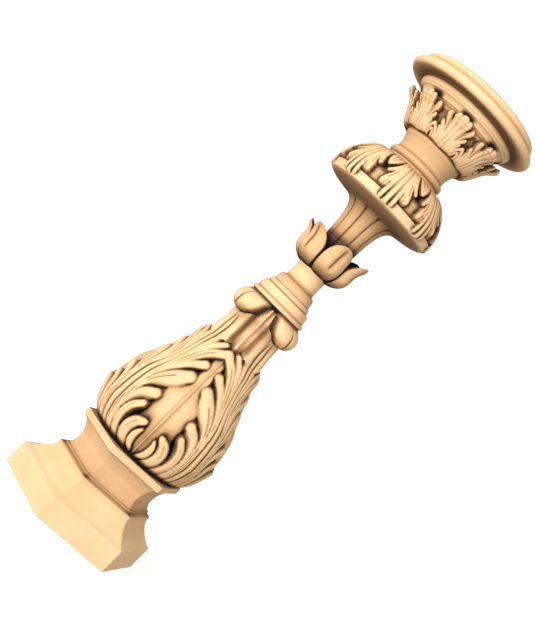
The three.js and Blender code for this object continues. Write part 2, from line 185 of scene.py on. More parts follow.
def shelter(grid, reach=REACH, fade=FADE):
    """How much of the open sky over each point the shell's own carving hides, 0 to 1. Looking out
    along the grid in sixteen directions, the horizon is the highest sine of the angle that a
    point at any of the reaches makes with the tangent plane, and the hidden share of the sky in
    that direction is the square of that sine."""
    along = np.gradient(grid, axis=0)
    around = np.roll(grid, -1, 1) - np.roll(grid, 1, 1)
    normal = np.cross(around, along)
    normal /= np.maximum(np.linalg.norm(normal, axis=2, keepdims=True), 1e-9)
    rows = np.arange(len(grid))
    steps = [(0, 1), (1, 0), (1, 1), (1, -1), (1, 2), (1, -2), (2, 1), (2, -1)]
    steps += [(-down, -across) for down, across in steps]
    hidden = np.zeros(grid.shape[:2])
    for down, across in steps:
        horizon = np.zeros(grid.shape[:2])
        for far in reach:
            at = np.clip(rows + down * far, 0, len(grid) - 1)
            toward = np.roll(grid[at], -across * far, 1) - grid
            rise = np.sum(toward * normal, 2)
            distance = np.linalg.norm(toward, axis=2)
            near = 1 - smooth(distance, *fade)
            horizon = np.maximum(horizon, near * rise / np.maximum(distance, 0.2))
        hidden += horizon ** 2
    return hidden / len(steps)


def darkened(grid):
    """Shelter at every reach, and once more for the fine valleys alone, which the light of the
    photograph draws as dark lines."""
    fine = shelter(grid, reach=FINE_REACH, fade=FINE_FADE)
    return 1 - (1 - shelter(grid)) * (1 - fine) ** FINE_LINES


def curve(points, spacing=1.2):
    """Points every spacing mm along the smooth curve through (radius, height) stations."""
    points = np.array(points, float)
    along = np.concatenate([[0], np.cumsum(np.hypot(*np.diff(points, axis=0).T))])
    at = np.linspace(0, along[-1], max(int(along[-1] / spacing), 2) + 1)
    return list(zip(flow(np.stack([along, points[:, 0]], 1), at),
                    flow(np.stack([along, points[:, 1]], 1), at)))


def straight_profile(stations, spacing=1.0):
    """Points every spacing mm along the straight runs between (radius, height) stations, and the
    stations themselves."""
    points = np.array(stations, float)
    steps = np.hypot(*np.diff(points, axis=0).T)
    along = np.concatenate([[0], np.cumsum(steps)])
    at = np.linspace(0, along[-1], int(along[-1] / spacing) + 1)
    at = np.unique(np.concatenate([at, along]))
    return np.interp(at, along, points[:, 0]), np.interp(at, along, points[:, 1])


def arc(centre, radius, start, end, count=9):
    """Stations on an arc: centre (radius, height), size, and angles from outward, up positive."""
    angle = np.radians(np.linspace(start, end, count))
    return list(zip(centre[0] + radius * np.cos(angle), centre[1] + radius * np.sin(angle)))


def linear(hex_colour):
    """sRGB hex to linear RGBA: each channel over 255, less 0.055, over 1.055, to the power 2.4."""
    value = [int(hex_colour[i:i + 2], 16) / 255 for i in (1, 3, 5)]
    return [v / 12.92 if v <= 0.04045 else ((v + 0.055) / 1.055) ** 2.4 for v in value] + [1]


def add_node(tree, kind, links=None, **settings):
    """One node with its settings, and its inputs linked from other sockets or set to values."""
    node = tree.nodes.new(kind)
    for key, value in settings.items():
        setattr(node, key, value)
    for key, value in (links or {}).items():
        if isinstance(value, bpy.types.NodeSocket):
            tree.links.new(value, node.inputs[key])
        else:
            node.inputs[key].default_value = value
    return node


def make_limestone():
    """Fine-grained buff limestone, rubbed smooth: a warm matte face, a faint cloudiness over a
    hand's breadth, oolite grains under a millimetre drawn at 1.5 mm so that they show, and painted
    shade that darkens the colour where the carving and nearby pieces hide the sky."""
    material = bpy.data.materials.new("rubbed_buff_limestone")
    material.use_nodes = True
    tree = material.node_tree
    tree.nodes.clear()
    place = add_node(tree, "ShaderNodeTexCoord").outputs["Object"]
    grain_mm, cloud_mm = 1.5, 60.0
    cloud = add_node(tree, "ShaderNodeTexNoise", {"Vector": place, "Scale": 1 / (cloud_mm * MM),
                     "Detail": 3, "Roughness": 0.5})
    grain = add_node(tree, "ShaderNodeTexNoise", {"Vector": place, "Scale": 1 / (grain_mm * MM),
                     "Detail": 2, "Roughness": 0.6})
    tint = add_node(tree, "ShaderNodeValToRGB", {"Fac": cloud.outputs["Fac"]})
    tint.color_ramp.elements[0].position = 0.3
    tint.color_ramp.elements[0].color = linear("#EFC392")
    tint.color_ramp.elements[1].position = 0.7
    tint.color_ramp.elements[1].color = linear("#F5CE9E")
    speck = add_node(tree, "ShaderNodeMapRange", {"Value": grain.outputs["Fac"], "From Min": 0.3,
                     "From Max": 0.7, "To Min": 0.95, "To Max": 1.04})
    grained = add_node(tree, "ShaderNodeVectorMath", {0: tint.outputs["Color"],
                       "Scale": speck.outputs["Result"]}, operation="SCALE")
    # Painted shade: the shelter attribute darkens the colour through these stops, white where the
    # sky is open, near black in the deepest crevices
    hollow = add_node(tree, "ShaderNodeAttribute", attribute_name="shelter")
    painted_shade_ramp = add_node(tree, "ShaderNodeValToRGB", {"Fac": hollow.outputs["Fac"]})
    stops = (0.02, "#FFFFFF"), (0.1, "#D2C8BC"), (0.24, "#8A7C6C"), (0.42, "#3A3028")
    for hidden_share, colour in stops:
        stop = painted_shade_ramp.color_ramp.elements.new(hidden_share)
        stop.color = linear(colour)
    painted_shade_ramp.color_ramp.elements.remove(painted_shade_ramp.color_ramp.elements[0])
    painted_shade_ramp.color_ramp.elements[-1].position = 0.6
    painted_shade_ramp.color_ramp.elements[-1].color = linear("#120D09")
    painted_shade_colour = add_node(tree, "ShaderNodeVectorMath", {0: grained.outputs["Vector"],
                     1: painted_shade_ramp.outputs["Color"]}, operation="MULTIPLY")
    bump = add_node(tree, "ShaderNodeBump", {"Height": grain.outputs["Fac"], "Strength": 0.12,
                    "Distance": 0.3 * MM})
    shader = add_node(tree, "ShaderNodeBsdfPrincipled", {"Base Color": painted_shade_colour.outputs["Vector"],
                      "Roughness": 0.78, "IOR": 1.5, "Specular IOR Level": 0.25,
                      "Normal": bump.outputs["Normal"]})
    add_node(tree, "ShaderNodeOutputMaterial", {"Surface": shader.outputs["BSDF"]})
    return material


stone = make_limestone()

# Outline of the whole stone, (radius, height): how its large forms shade each other, painted into
# the colour as shade
OUTLINE = [(0, 0), (117, 0), (117, 36), (92, 53), (85, 70), (74, 77), (70, 91), (75, 109),
           (88, 120), (88, 129), (73, 130), (88, 142), (98, 165), (98, 185), (90, 230), (66, 276),
           (48, 324), (44, 368), (62, 378), (64, 390), (46, 405), (41, 422), (32, 440), (24, 450),
           (24, 474), (44, 484), (48, 510), (54, 528), (30, 530), (27, 545), (30, 565), (38, 582),
           (64, 592), (86, 598), (89, 618), (82, 638), (62, 658), (46, 667), (41, 682), (44, 698),
           (58, 709), (66, 724), (74, 750), (73, 757), (80, 768), (84, 773), (100, 774),
           (108, 780), (97, 796), (88, 800), (0, 800)]


OUTLINE_SPACING = 3
OUTLINE_COLUMNS = 72
OUTLINE_WINDOW = 9


def outline_shelter():
    """Heights and hidden shares of sky for the turned outline alone, with a long fade. The shares
    are the mean over a window of neighbouring points."""
    radius, height = straight_profile(OUTLINE, OUTLINE_SPACING)
    grid = polar(azimuths(OUTLINE_COLUMNS), radius[:, None], height[:, None])
    hidden = shelter(grid, fade=OUTLINE_FADE)[:, 0]
    order = np.argsort(height, kind="stable")
    padded = np.pad(hidden[order], OUTLINE_WINDOW // 2, mode="edge")
    return height[order], np.convolve(padded, np.ones(OUTLINE_WINDOW) / OUTLINE_WINDOW, "valid")


OUTLINE_HEIGHTS, OUTLINE_HIDDEN = outline_shelter()

# Crest radius of the carving on the body, at shares of the leaf's height
CREST = [(0, 71.6), (0.02, 77), (0.06, 85.5), (0.126, 93), (0.22, 98.7), (0.3, 98.3), (0.4, 96),
         (0.52, 90), (0.6, 82), (0.68, 72.8), (0.76, 65.6), (0.84, 60), (0.92, 54.5), (1.0, 48.3),
         (1.1, 45), (1.25, 43.6), (1.42, 43.5)]


def crest_radius(share):
    """Outer radius of the body: a smooth curve through the crest stations."""
    return flow(CREST, share)


# Lobes of half a leaf, lowest curl first. Each centre line runs through four places from its root
# to its tip, in degrees from the midrib and shares of the leaf's height, with half widths in
# millimetres. A lobe with a bank slopes off gently below and breaks steeply above.
LOBES = [
    dict(line=((3.2, 0.03), (8.7, 0.09), (9.3, 0.16), (7.2, 0.213)), wide=(2, 5.2, 5, 2.8),
         lift=-2.5),
    dict(line=((13, 0.0), (18.8, 0.12), (16, 0.215), (9.6, 0.264)), wide=(5, 10, 9, 5), lift=1.5,
         vein=0.9),
    dict(line=((25.5, 0.0), (29.6, 0.14), (27.6, 0.265), (21, 0.341)), wide=(5, 7.4, 7, 5.6),
         lift=1.5, vein=0.8),
    dict(line=((34.2, 0.0), (34.4, 0.24), (30.5, 0.377), (20.8, 0.442)), wide=(2, 2.6, 7.4, 8),
         lift=0.5, bank=1),
    dict(line=((36, 0.0), (35.6, 0.4), (27, 0.575), (12.8, 0.676)), wide=(1.9, 2.6, 10.4, 9.4),
         lift=1, vein=1.3, bank=1),
    dict(line=((37.9, 0.0), (37.2, 0.5), (29, 0.7), (12, 0.8)), wide=(2, 2.4, 5.6, 7), lift=2),
    dict(line=((38.4, 0.3), (38, 0.6), (24, 0.85), (0, 0.957)), wide=(1.2, 2.2, 7.2, 7), lift=3.5,
         vein=0.9),
    dict(line=((39.9, 0.0), (39.3, 0.68), (29, 0.9), (14.5, 0.99)), wide=(2, 2.2, 6.4, 4.4),
         lift=2),
    dict(line=((40.6, 0.45), (40, 0.8), (34, 0.97), (28, 1.12)), wide=(1, 2.2, 6, 7)),
]
LOBE_STEPS = 22

# Height over the crest where there is no lobe, and the fall of a thin tail, in millimetres
FAR = 50.0
NO_LOBE = -FAR
TAIL_FALL = 1.8


def centre_line(line, steps):
    """Degrees and heights at even steps along the smooth curve through a lobe's places."""
    t = np.linspace(0, 1, steps + 1)
    stations = np.linspace(0, 1, len(line))
    return [flow(np.stack([stations, values], 1), t) for values in zip(*line)]


def lobe_back(across, up, line, wide, lift=0.0, vein=0.0, bank=0, full=0.8, round_off=2.6,
              thin=1):
    """Height of one lobe over its crest, in millimetres. With q the distance to its centre line in
    half widths, its depth is a fullness times the half width times 1 less the root of 1 less q to
    the round_off, or on the banked side q to the power 1.7. Where it thins to a tail its depth is
    1.8 mm times q squared. A fine groove marks the vein."""
    x, z = line
    steps = len(x) - 1
    stations = np.stack([np.linspace(0, 1, len(wide)), wide], 1)
    half_widths = flow(stations, np.linspace(0, 1, steps + 1))
    best = np.full(across.shape, NO_LOBE)
    nearest = np.full(across.shape, FAR)
    nearest_place = np.zeros(across.shape)
    for k in range(steps):
        run_x, run_z = x[k + 1] - x[k], z[k + 1] - z[k]
        off_x, off_z = across - x[k], up - z[k]
        s = np.clip((off_x * run_x + off_z * run_z) / (run_x ** 2 + run_z ** 2), 0, 1)
        gap = np.hypot(off_x - run_x * s, off_z - run_z * s)
        half = half_widths[k] + (half_widths[k + 1] - half_widths[k]) * s
        place = (k + s) / steps
        below = bank * (run_x * off_z - run_z * off_x > 0) * (1 - smooth(place, 0.8, 0.97))
        q = gap / (half * (1 + 0.35 * below))
        depth = 1 - np.sqrt(np.clip(1 - q ** round_off, 0, 1))
        depth += below * (0.9 * np.clip(q, 0, 1) ** 1.7 - depth)
        tail = thin * (1 - smooth(half, 2, 4))
        fall = full * half * depth * (1 - tail) + TAIL_FALL * q ** 2 * tail
        best = np.maximum(best, np.where(q < 1, lift * place ** 3 - fall, NO_LOBE))
        nearest_place = np.where(gap < nearest, place, nearest_place)
        nearest = np.minimum(nearest, gap)
    mid = smooth(nearest_place, 0.3, 0.45) * (1 - smooth(nearest_place, 0.75, 0.88))
    return best - vein * mid * np.exp(-(nearest / 1.0) ** 2)


# Panels of the shaft, in millimetres: half width at the foot and how much it grows up to the
# head, depth and hollowness, then height and half width of the rib and of a strap's groove
PANEL_EDGE, PANEL_SPREAD = 13.4, 1.2
PANEL_DEPTH, PANEL_DISH = 7.8, 1.2
SHAFT_RIB, SHAFT_RIB_HALF = 3.6, 2.6
STRAP_GROOVE, STRAP_GROOVE_HALF = 2.2, 1.3
FLANK = 1.6


def shaft_radius(angle, share):
    """Radius of the shaft at degrees from the leaf's middle: a round column, cut back to a concave
    panel with a sharp rib over each leaf, with a swelling beside the panel and a fine groove each
    side of the strap."""
    column = crest_radius(share)
    climb = (share - 1) * LEAF_HEIGHT / SHAFT_HEIGHT
    across = np.radians(angle) * column
    edge = PANEL_EDGE + PANEL_SPREAD * climb
    wall = smooth(across, edge - 0.8, edge + 4)
    dish = PANEL_DISH * (1 - (np.clip(across, 0, edge) / edge - 0.5) ** 2 * 4)
    rib = SHAFT_RIB * np.exp(-(across / SHAFT_RIB_HALF) ** 1.8)
    strap_edge = flow([(0, 4.6), (0.2, 6.2), (0.35, 5.2), (0.45, 3), (0.52, 0.6)], climb)
    off = np.radians(45 - angle - strap_edge) * column
    groove = STRAP_GROOVE * np.exp(-(off / STRAP_GROOVE_HALF) ** 2)
    groove = groove * (1 - smooth(climb, 0.45, 0.53))
    flank = FLANK * smooth(angle, 17, 24) * (1 - smooth(angle, 30, 38))
    flank = flank * (1 - smooth(climb, 0.6, 0.8))
    return column + (rib - dish - PANEL_DEPTH) * (1 - wall) + flank - groove


# Leaves of the body, in millimetres: the cushion and depth of the panel, the floor beside the
# straps, height and half width of the midrib, and how much a strap rounds off to its edges
CUSHION, FLOOR_DEPTH = 1.5, 5.5
STRAP_FLOOR = -2.2
MIDRIB, MIDRIB_HALF = 2.4, 1.5
STRAP_FALL = 3.4


def body_radius(azimuth, share):
    """Radius of the body: the crest radius plus the highest of the lobes, the straps and the floor,
    which is a cushioned panel in the middle, deep between the lobes and shallower towards the
    straps, and turns into the shaft above the leaf."""
    angle = np.abs(signed_fold(azimuth, BODY_FOLDS))
    crest = crest_radius(share)
    across = np.radians(angle) * crest
    up = share * LEAF_HEIGHT
    cushion = CUSHION * np.exp(-(across / 16) ** 2) - CUSHION
    panel = cushion - FLOOR_DEPTH - 2 * np.exp(-((share - 0.2) / 0.09) ** 2)
    panel = panel + 2.5 * smooth(share, 0.6, 0.75)
    low_slit = (9 - 5.5 * smooth(share, 0.33, 0.43)) * smooth(across, 27, 36)
    low_slit = low_slit * (1 - smooth(angle, 27, 36))
    high_slit = 8 * smooth(share, 0.62, 0.7) * smooth(angle, 7, 12) * (1 - smooth(angle, 24, 33))
    floor = panel - low_slit - high_slit
    floor = floor + smooth(angle, 29, 34) * (STRAP_FLOOR - floor)
    rib = MIDRIB * np.exp(-(across / MIDRIB_HALF) ** 1.5) * (1 - smooth(share, 0.9, 0.94))
    lobes = np.full(across.shape, NO_LOBE)
    for lobe in LOBES:
        turns, shares = centre_line(lobe["line"], LOBE_STEPS)
        line = np.radians(turns) * crest_radius(shares), shares * LEAF_HEIGHT
        lobes = np.maximum(lobes, lobe_back(across, up, **{**lobe, "line": line}))
    off_strap = (45 - angle) / flow([(0, 4.0), (0.4, 4.2), (0.9, 4.3), (1.1, 5.4)], share)
    strap = np.where(off_strap < 1, -STRAP_FALL * np.abs(off_strap) ** 3, NO_LOBE)
    lobes = np.maximum(lobes, strap)
    leaf = crest + smooth(share, 0, 0.05) * np.maximum(floor + rib, lobes)
    over = smooth(share, 0.975, 1.005) + smooth(share, 0.93, 0.985) * (1 - smooth(angle, 13, 17))
    lapped = np.maximum(shaft_radius(angle, share), crest + lobes)
    return leaf + (lapped - leaf) * np.clip(over, 0, 1)


def body_azimuths():
    """Columns closer together over the thin tails of the lobes, from 30 to 42 degrees of a fold."""
    half = np.concatenate([np.linspace(0, 30, 35), np.linspace(30, 42, 31)[1:], [43, 44, 45]])
    fold = np.concatenate([-half[:0:-1], half[:-1]])
    return np.concatenate([fold + 90 * k - 135 for k in range(BODY_FOLDS)])


# Rows of the bulb up to the seam, at a share of the leaf's height, and of the shaft above it
SEAM_ROW = 168
SEAM_SHARE = 1.06
SHAFT_ROWS = 45

# Painted shade on the body: under the plate, at the panels' walls, on the floors, under the collar,
# and painted light, less shade, along the panels and on their ribs
PLATE_DUSK, WALL_DUSK, FLOOR_DUSK, COLLAR_DUSK = 0.75, 0.16, 0.04, 0.5
PANEL_LIGHT, RIB_LIGHT = 0.05, 0.2


def make_body():
    """Leafed bulb and ribbed shaft: rings from inside the plate to inside the collar, closer
    together on the leaves. Two pieces meet at the shoulder of the leaves."""
    azimuth = body_azimuths()
    top = (SHAFT_TOP + 2 - PLATE_TOP) / LEAF_HEIGHT
    share = np.concatenate([np.linspace(0, SEAM_SHARE, SEAM_ROW + 1),
                            np.linspace(SEAM_SHARE, top, SHAFT_ROWS)[1:]])[:, None]
    height = PLATE_TOP + share * LEAF_HEIGHT
    radius = body_radius(azimuth[None, :], share)
    grid = polar(azimuth, radius, height)
    hidden = darkened(grid)
    angle = np.abs(signed_fold(azimuth, BODY_FOLDS))[None, :]
    walls = WALL_DUSK * np.exp(-((angle - 19) / 3.5) ** 2) * smooth(share, 1.0, 1.06)
    floors = FLOOR_DUSK * smooth(crest_radius(share) - radius, 3.5, 5.5)
    floors = floors * (1 - smooth(share, 0.9, 1.0))
    dusk = np.maximum(PLATE_DUSK * (1 - smooth(height, 130, 142)), walls + floors)
    dusk = np.maximum(dusk, COLLAR_DUSK * smooth(height, 396, 402))
    light = PANEL_LIGHT * (1 - smooth(angle, 10, 15)) + RIB_LIGHT * np.exp(-(angle / 2.2) ** 2)
    dusk = dusk - light * smooth(share, 1.0, 1.04) * (1 - smooth(height, 392, 400))
    bulb, shaft = slice(0, SEAM_ROW + 1), slice(SEAM_ROW, None)
    for name, rows in (("leafed_bulb", bulb), ("ribbed_shaft", shaft)):
        add_shells(name, [grid[rows]], hidden=[hidden[rows]], dusk=dusk[rows])


make_body()

BRACT_TIP = 366.5
BRACT_HEAD = 403.5


def make_bracts():
    """Four hooded bracts under the collar. Each is a plump shield: rows run from the hooked tip to
    the head, and each ring round it is a lens, convex outside, with a fine line down the middle."""
    rows, columns = 44, 120
    v = np.linspace(0, 1, rows)[:, None]
    turn = np.linspace(0, 2 * np.pi, columns, endpoint=False)[None, :]
    side = np.sin(turn)
    front = np.cos(turn)
    half = flow([(0, 0.3), (0.064, 9), (0.126, 15), (0.21, 20), (0.28, 25), (0.446, 30),
                 (0.7, 34.5), (0.917, 36.5), (1, 37)], v)
    proud = flow([(0, 52), (0.05, 60), (0.14, 64), (0.33, 65.3), (0.55, 64), (0.72, 60),
                  (0.86, 53.5), (1, 44)], v)
    edge = flow([(0, 40), (0.3, 42), (0.6, 43), (1, 43)], v)
    bow = np.abs(side)
    skin = edge + (proud - edge) * np.clip(1 - bow ** 2.6, 0, 1) ** 0.62
    keel = 1.5 * np.exp(-(side * half / 1.1) ** 2) * smooth(v, 0.02, 0.1) * (1 - smooth(v, 0.9, 1))
    radius = np.where(front >= 0, skin - keel, edge - 6)
    height = BRACT_TIP + (BRACT_HEAD - BRACT_TIP) * v + 0 * turn
    shells = []
    for fold in range(BODY_FOLDS):
        azimuth = 45 + 90 * fold + side * half
        shells.append(polar(azimuth, radius, height))
    # Painted shade under the collar, along the bracts' undercut edges and at their tips
    under = smooth(np.abs(side), 0.7, 1) * (1 - 0.6 * smooth(v, 0.75, 0.95))
    dusk = 0.3 * smooth(height, 398, 403) + 0.4 * under + 0.15 * (1 - smooth(v, 0.02, 0.14))
    add_shells("hooded_bracts", shells, dusk=dusk)


make_bracts()


LATHE_COLUMNS = 128
LATHE_SPACING = 0.7


def make_lathe(name, stations, columns=LATHE_COLUMNS, dusk=0.0):
    """A turned piece: the stations, (radius, height) from the foot up, carried round the axis.
    Dusk, painted shade, is one share, or a function of azimuth, radius and height."""
    lines = straight_profile(stations, LATHE_SPACING)
    radius, height = (np.repeat(line[:, None], columns, 1) for line in lines)
    azimuth = azimuths(columns)
    shade = dusk(azimuth, radius, height) if callable(dusk) else dusk
    add_shell(name, azimuth, radius, height, dusk=shade)


def make_collar():
    """Collar: a round bead, a conical band, a small bead and a soft upper band, each set back
    from the one below by a fine quirk, then the round throat up into the tulip."""
    at = SHAFT_TOP

    def dusk(azimuth, radius, height):
        """Painted shade under the bead, and a little painted light on the throat."""
        foot = 0.7 * (1 - smooth(height, at - 2.5, at + 0.5))
        return foot - 0.08 * smooth(height, at + 44, at + 50)

    make_lathe("ringed_collar", [
        (30, at - 6), (42, at - 3.5), *arc((42.6, at + 2.2), 3.2, -80, 80),
        (41.4, at + 6.6), (41.6, at + 8), (41.9, at + 9), (40.2, at + 18.4), (39.4, at + 19.4),
        (36.2, at + 20.2), (35.4, at + 21.2), (36, at + 22), (34.8, at + 27), (33.8, at + 27.8),
        (32, at + 28.2), (31.8, at + 29.2), (31.7, at + 31), (30.8, at + 37), (29.6, at + 40.4),
        (27.6, at + 42.2), (25, at + 42.8), (24.3, at + 44), (24, at + 47), (24, at + 69),
        (24, at + 74), (10, at + 75),
    ], dusk=dusk)


make_collar()


HEART_COLUMNS = 96
# Painted shade over the whole heart, which stands behind the petals
HEART_DUSK = 0.55


def make_tulip():
    """Six petals and the heart behind them. A petal is a thick curved sheet: rows climb from the
    throat to the lip, the radius follows a bell that pinches and then flares, and each ring goes
    across the outside and back across the inside, with the edges drawn in and a crease in front."""
    rows, columns = 56, 72
    v = np.linspace(0, 1, rows)[:, None] ** 0.9
    turn = np.linspace(0, 2 * np.pi, columns, endpoint=False)[None, :]
    side, front = np.sin(turn), np.cos(turn)
    half = flow([(0, 22), (0.05, 26), (0.14, 28.6), (0.35, 29.6), (0.55, 29), (0.7, 26),
                 (0.8, 21.2), (0.88, 15.8), (0.95, 9.4), (0.985, 4.6), (1, 0.4)], v)
    bell = flow([(0, 23.5), (0.03, 30), (0.08, 35.5), (0.16, 41), (0.28, 44.8), (0.45, 46.6),
                 (0.63, 47), (0.76, 49), (0.88, 52.8), (0.95, 54.4), (1, 54.8)], v)
    drawn = flow([(0, 2), (0.3, 5), (0.7, 5), (0.9, 2.5), (1, 0)], v) * np.abs(side) ** 3
    thick = flow([(0, 5), (0.5, 4.6), (0.9, 3.0), (1, 1.2)], v)
    across = np.radians(side * half) * bell
    crease = 1.1 * np.exp(-(across / 1.2) ** 2)
    crease = crease * smooth(v, 0.24, 0.36) * (1 - smooth(v, 0.9, 0.95))
    puff = 1.3 * np.exp(-(((np.abs(across) - 8) / 7) ** 2)) * smooth(v, 0.1, 0.3)
    puff = puff * (1 - smooth(v, 0.8, 1))
    inside = 0.5 - 0.5 * np.sign(front) * np.abs(front) ** 0.35
    radius = bell - drawn + puff - crease - thick * inside
    height = THROAT_TOP + TULIP_HEIGHT * v + 0 * turn
    shells = []
    for petal in range(PETALS):
        azimuth = PLINTH_TURN + 60 * petal + side * half
        shells.append(polar(azimuth, radius, height))
    # Painted shade on the petals' edge-on sides, on their inner sides and at their foot
    edge_on = smooth(np.abs(side), 0.88, 1) * (1 - smooth(v, 0.72, 0.86))
    behind = smooth(-front, -0.1, 0.2) * (1 - 0.7 * smooth(v, 0.93, 1))
    at_foot = 1 - smooth(v, 0, 0.09)
    dusk = 1 - 0.95 * (1 - 0.5 * edge_on) * (1 - 0.45 * behind) * (1 - 0.4 * at_foot)
    add_shells("tulip_petals", shells, dusk=dusk)
    at = THROAT_TOP
    make_lathe("tulip_heart", [
        (20, at - 4), (23, at + 1), (31, at + 5), (36, at + 10), (37.5, at + 17), (36, at + 24),
        (30, at + 28), (20, at + 29),
    ], HEART_COLUMNS, dusk=HEART_DUSK)


make_tulip()


STEM_SPACING = 1.4
STEM_COLUMNS = 360


def make_stem():
    """Fluted stem and the trumpet under the canopy: a turned profile with ten fine quirks that
    run out in a small pit each where the trumpet opens."""
    radius, height = straight_profile([
        (26.2, THROAT_TOP + 12), (26.4, 520), (26.6, 531), (27.2, 543), (28.3, 555), (29.9, 565),
        (31.6, 572), (34.2, 578), (37.4, 582.4), (41.5, 585.8), (47, 588.4), (54, 590.4), (62, 592),
        (72, 593.4), (80, 595), (84, 597.4), (84.5, 600), (60, 603),
    ], STEM_SPACING)
    azimuth = azimuths(STEM_COLUMNS)
    off = np.abs(signed_fold(azimuth, FLUTES, FLUTE_TURN))[None, :]
    radius, height = radius[:, None], height[:, None]
    across = np.radians(off) * radius
    cut = 1 - smooth(height, 584, 586.5)
    quirk = 1.1 * np.exp(-(across / 1.1) ** 2) + 0.5 * np.exp(-(across / 3.0) ** 2)
    pit = 2.0 * np.exp(-((across / 2.4) ** 2 + ((height - 585) / 2.4) ** 2))
    hollow = 0.5 * (1 - off * FLUTES / 180)
    skin = radius - (quirk + hollow) * cut - pit
    # Painted shade where the stem stands in the tulip, and a little where the trumpet opens
    dusk = 0.42 * (1 - smooth(height, 520, 540)) + 0.1 * smooth(height, 584, 588)
    add_shell("fluted_stem", azimuth, skin, np.broadcast_to(height, skin.shape), dusk=dusk)


make_stem()


CROWN_SPACING = 0.6
CROWN_COLUMNS = 448
CROWN_LOBE_STEPS = 15
CROWN_LOBE = dict(full=1.1, round_off=2.0, thin=0)


def crown_shell(name, pairs, lobes, slit, ends):
    """Eight leaves on a turned wall. Pairs are stations of the wall and of the leaves' crest over
    it, (radius, height) each, from the foot up. A point stands on the line from wall to crest, at
    the crest's distance plus the highest lobe, but not below the wall. Each leaf is a fan of broad
    lobes that overlap, so that only fine valleys part them. The slit, a function of the degrees
    from the midrib and the height, deepens the wall between. The ends are the heights over which
    the relief grows at the foot and runs out at the head."""
    wall_r, wall_z, crest_r, crest_z = np.array(pairs, float).T
    along = np.concatenate([[0], np.cumsum(np.hypot(np.diff(crest_r), np.diff(crest_z)))])
    up = np.linspace(0, along[-1], int(along[-1] / CROWN_SPACING))
    crest_r, crest_z = (flow(np.stack([along, line], 1), up) for line in (crest_r, crest_z))
    wall_r, wall_z = (np.interp(up, along, line) for line in (wall_r, wall_z))
    azimuth = azimuths(CROWN_COLUMNS)
    angle = np.abs(signed_fold(azimuth, CROWN_LEAVES))[None, :]
    across = np.radians(angle) * crest_r[:, None]
    field = np.full(across.shape, NO_LOBE)
    for lobe in lobes:
        turns, z = centre_line(lobe["line"], CROWN_LOBE_STEPS)
        line = np.radians(turns) * np.interp(z, crest_z, crest_r), np.interp(z, crest_z, up)
        back = lobe_back(across, up[:, None], **{**CROWN_LOBE, **lobe, "line": line})
        field = np.maximum(field, back)
    out_r, out_z = (crest_r - wall_r)[:, None], (crest_z - wall_z)[:, None]
    proud = np.maximum(np.hypot(out_r, out_z), 0.1)
    height = crest_z[:, None]
    relief = np.maximum(proud + field, -slit(angle, height))
    foot, head = ends
    relief = relief * smooth(height, *foot) * (1 - smooth(height, *head))
    add_shell(name, azimuth, wall_r[:, None] + relief * out_r / proud,
              wall_z[:, None] + relief * out_z / proud)


# Lobes of half a canopy leaf: degrees from its midrib and heights in millimetres, tip last
CANOPY_LOBES = [
    dict(line=((0, 662), (0, 640), (0, 618), (0, 602)), wide=(4, 5.4, 5.6, 5), lift=1.4,
         full=0.75),
    dict(line=((4.5, 660), (5.2, 640), (5.7, 620), (6.1, 604.5)), wide=(3, 4.6, 4.8, 4),
         lift=0.4, full=0.75),
    dict(line=((7, 656), (7.6, 640), (9, 628), (10.2, 618)), wide=(2.4, 3.8, 3.8, 3), lift=-0.6),
    dict(line=((8, 660), (9, 645), (11.2, 632), (13.8, 620)), wide=(3, 5, 6.4, 5.6), lift=1.2,
         vein=1.1),
    dict(line=((10.5, 660), (11.5, 651), (13.6, 642.5), (16.9, 635.5)), wide=(2.6, 4, 4.8, 3.6),
         lift=0.8, vein=0.5),
    dict(line=((16, 664), (17.4, 657), (19.6, 650.5), (22.5, 644)), wide=(6, 6, 4.8, 3.8), lift=1),
    dict(line=((22.5, 664), (22.5, 658), (22.5, 652), (22.5, 647)), wide=(5, 5, 4, 3), lift=0),
]


def canopy_slit(angle, height):
    """Depth of the deep slits on both sides of the small leaves, in millimetres."""
    band = smooth(height, 628, 636) * (1 - smooth(height, 648, 653))
    return 4.5 * np.exp(-((angle - 22.5) / 9) ** 2) * band


def no_slit(angle, height):
    """The wall of the cup isn't deepened between its leaves."""
    return 0.0


def make_canopy():
    """Canopy: a domed wall with a plain fascia at its rim, and leaves whose middle lobes hang over
    the fascia, with a smaller leaf between each pair and deep slits beside it."""
    crown_shell("leafed_canopy", [
        (82, 596.2, 84, 595), (85.6, 597.2, 87.4, 597.4), (86.6, 598.6, 89, 600),
        (86.8, 607.4, 90, 608), (87.4, 608.4, 90, 610), (87.4, 609.4, 90, 611.4),
        (85, 610, 90, 612.6), (81.8, 611.4, 89.8, 615), (83.4, 617, 89.3, 619.5),
        (82, 625, 87.8, 626.5), (78.4, 633, 85, 633.4), (73.4, 640.4, 81, 640.2),
        (67.6, 647, 76.4, 647.2), (63, 652.5, 70.6, 654), (58.5, 657, 64.4, 659.2),
        (53.5, 660.6, 57.6, 662.6), (48, 663.4, 50, 664.8), (42, 665.5, 44, 666.3),
        (30, 666.5, 30, 667),
    ], CANOPY_LOBES, canopy_slit, ((595.5, 598), (662, 665.5)))


make_canopy()


def make_neck():
    """Fillet, quirk and torus on the canopy, then the waist that spreads under the cup."""
    make_lathe("torus_and_neck", [
        (30, 662), (45.8, 663.6), (46.6, 665), (46.4, 666.4), (44.2, 667.2), (43.6, 668),
        *arc((41, 673.6), 5.4, -78, 78), (41.4, 679.6), (40.9, 680.6), (41.4, 681.4), (41.1, 684),
        (41.3, 689), (42.2, 694), (43.8, 699), (45.6, 703), (47, 706), (30, 712),
    ])


make_neck()

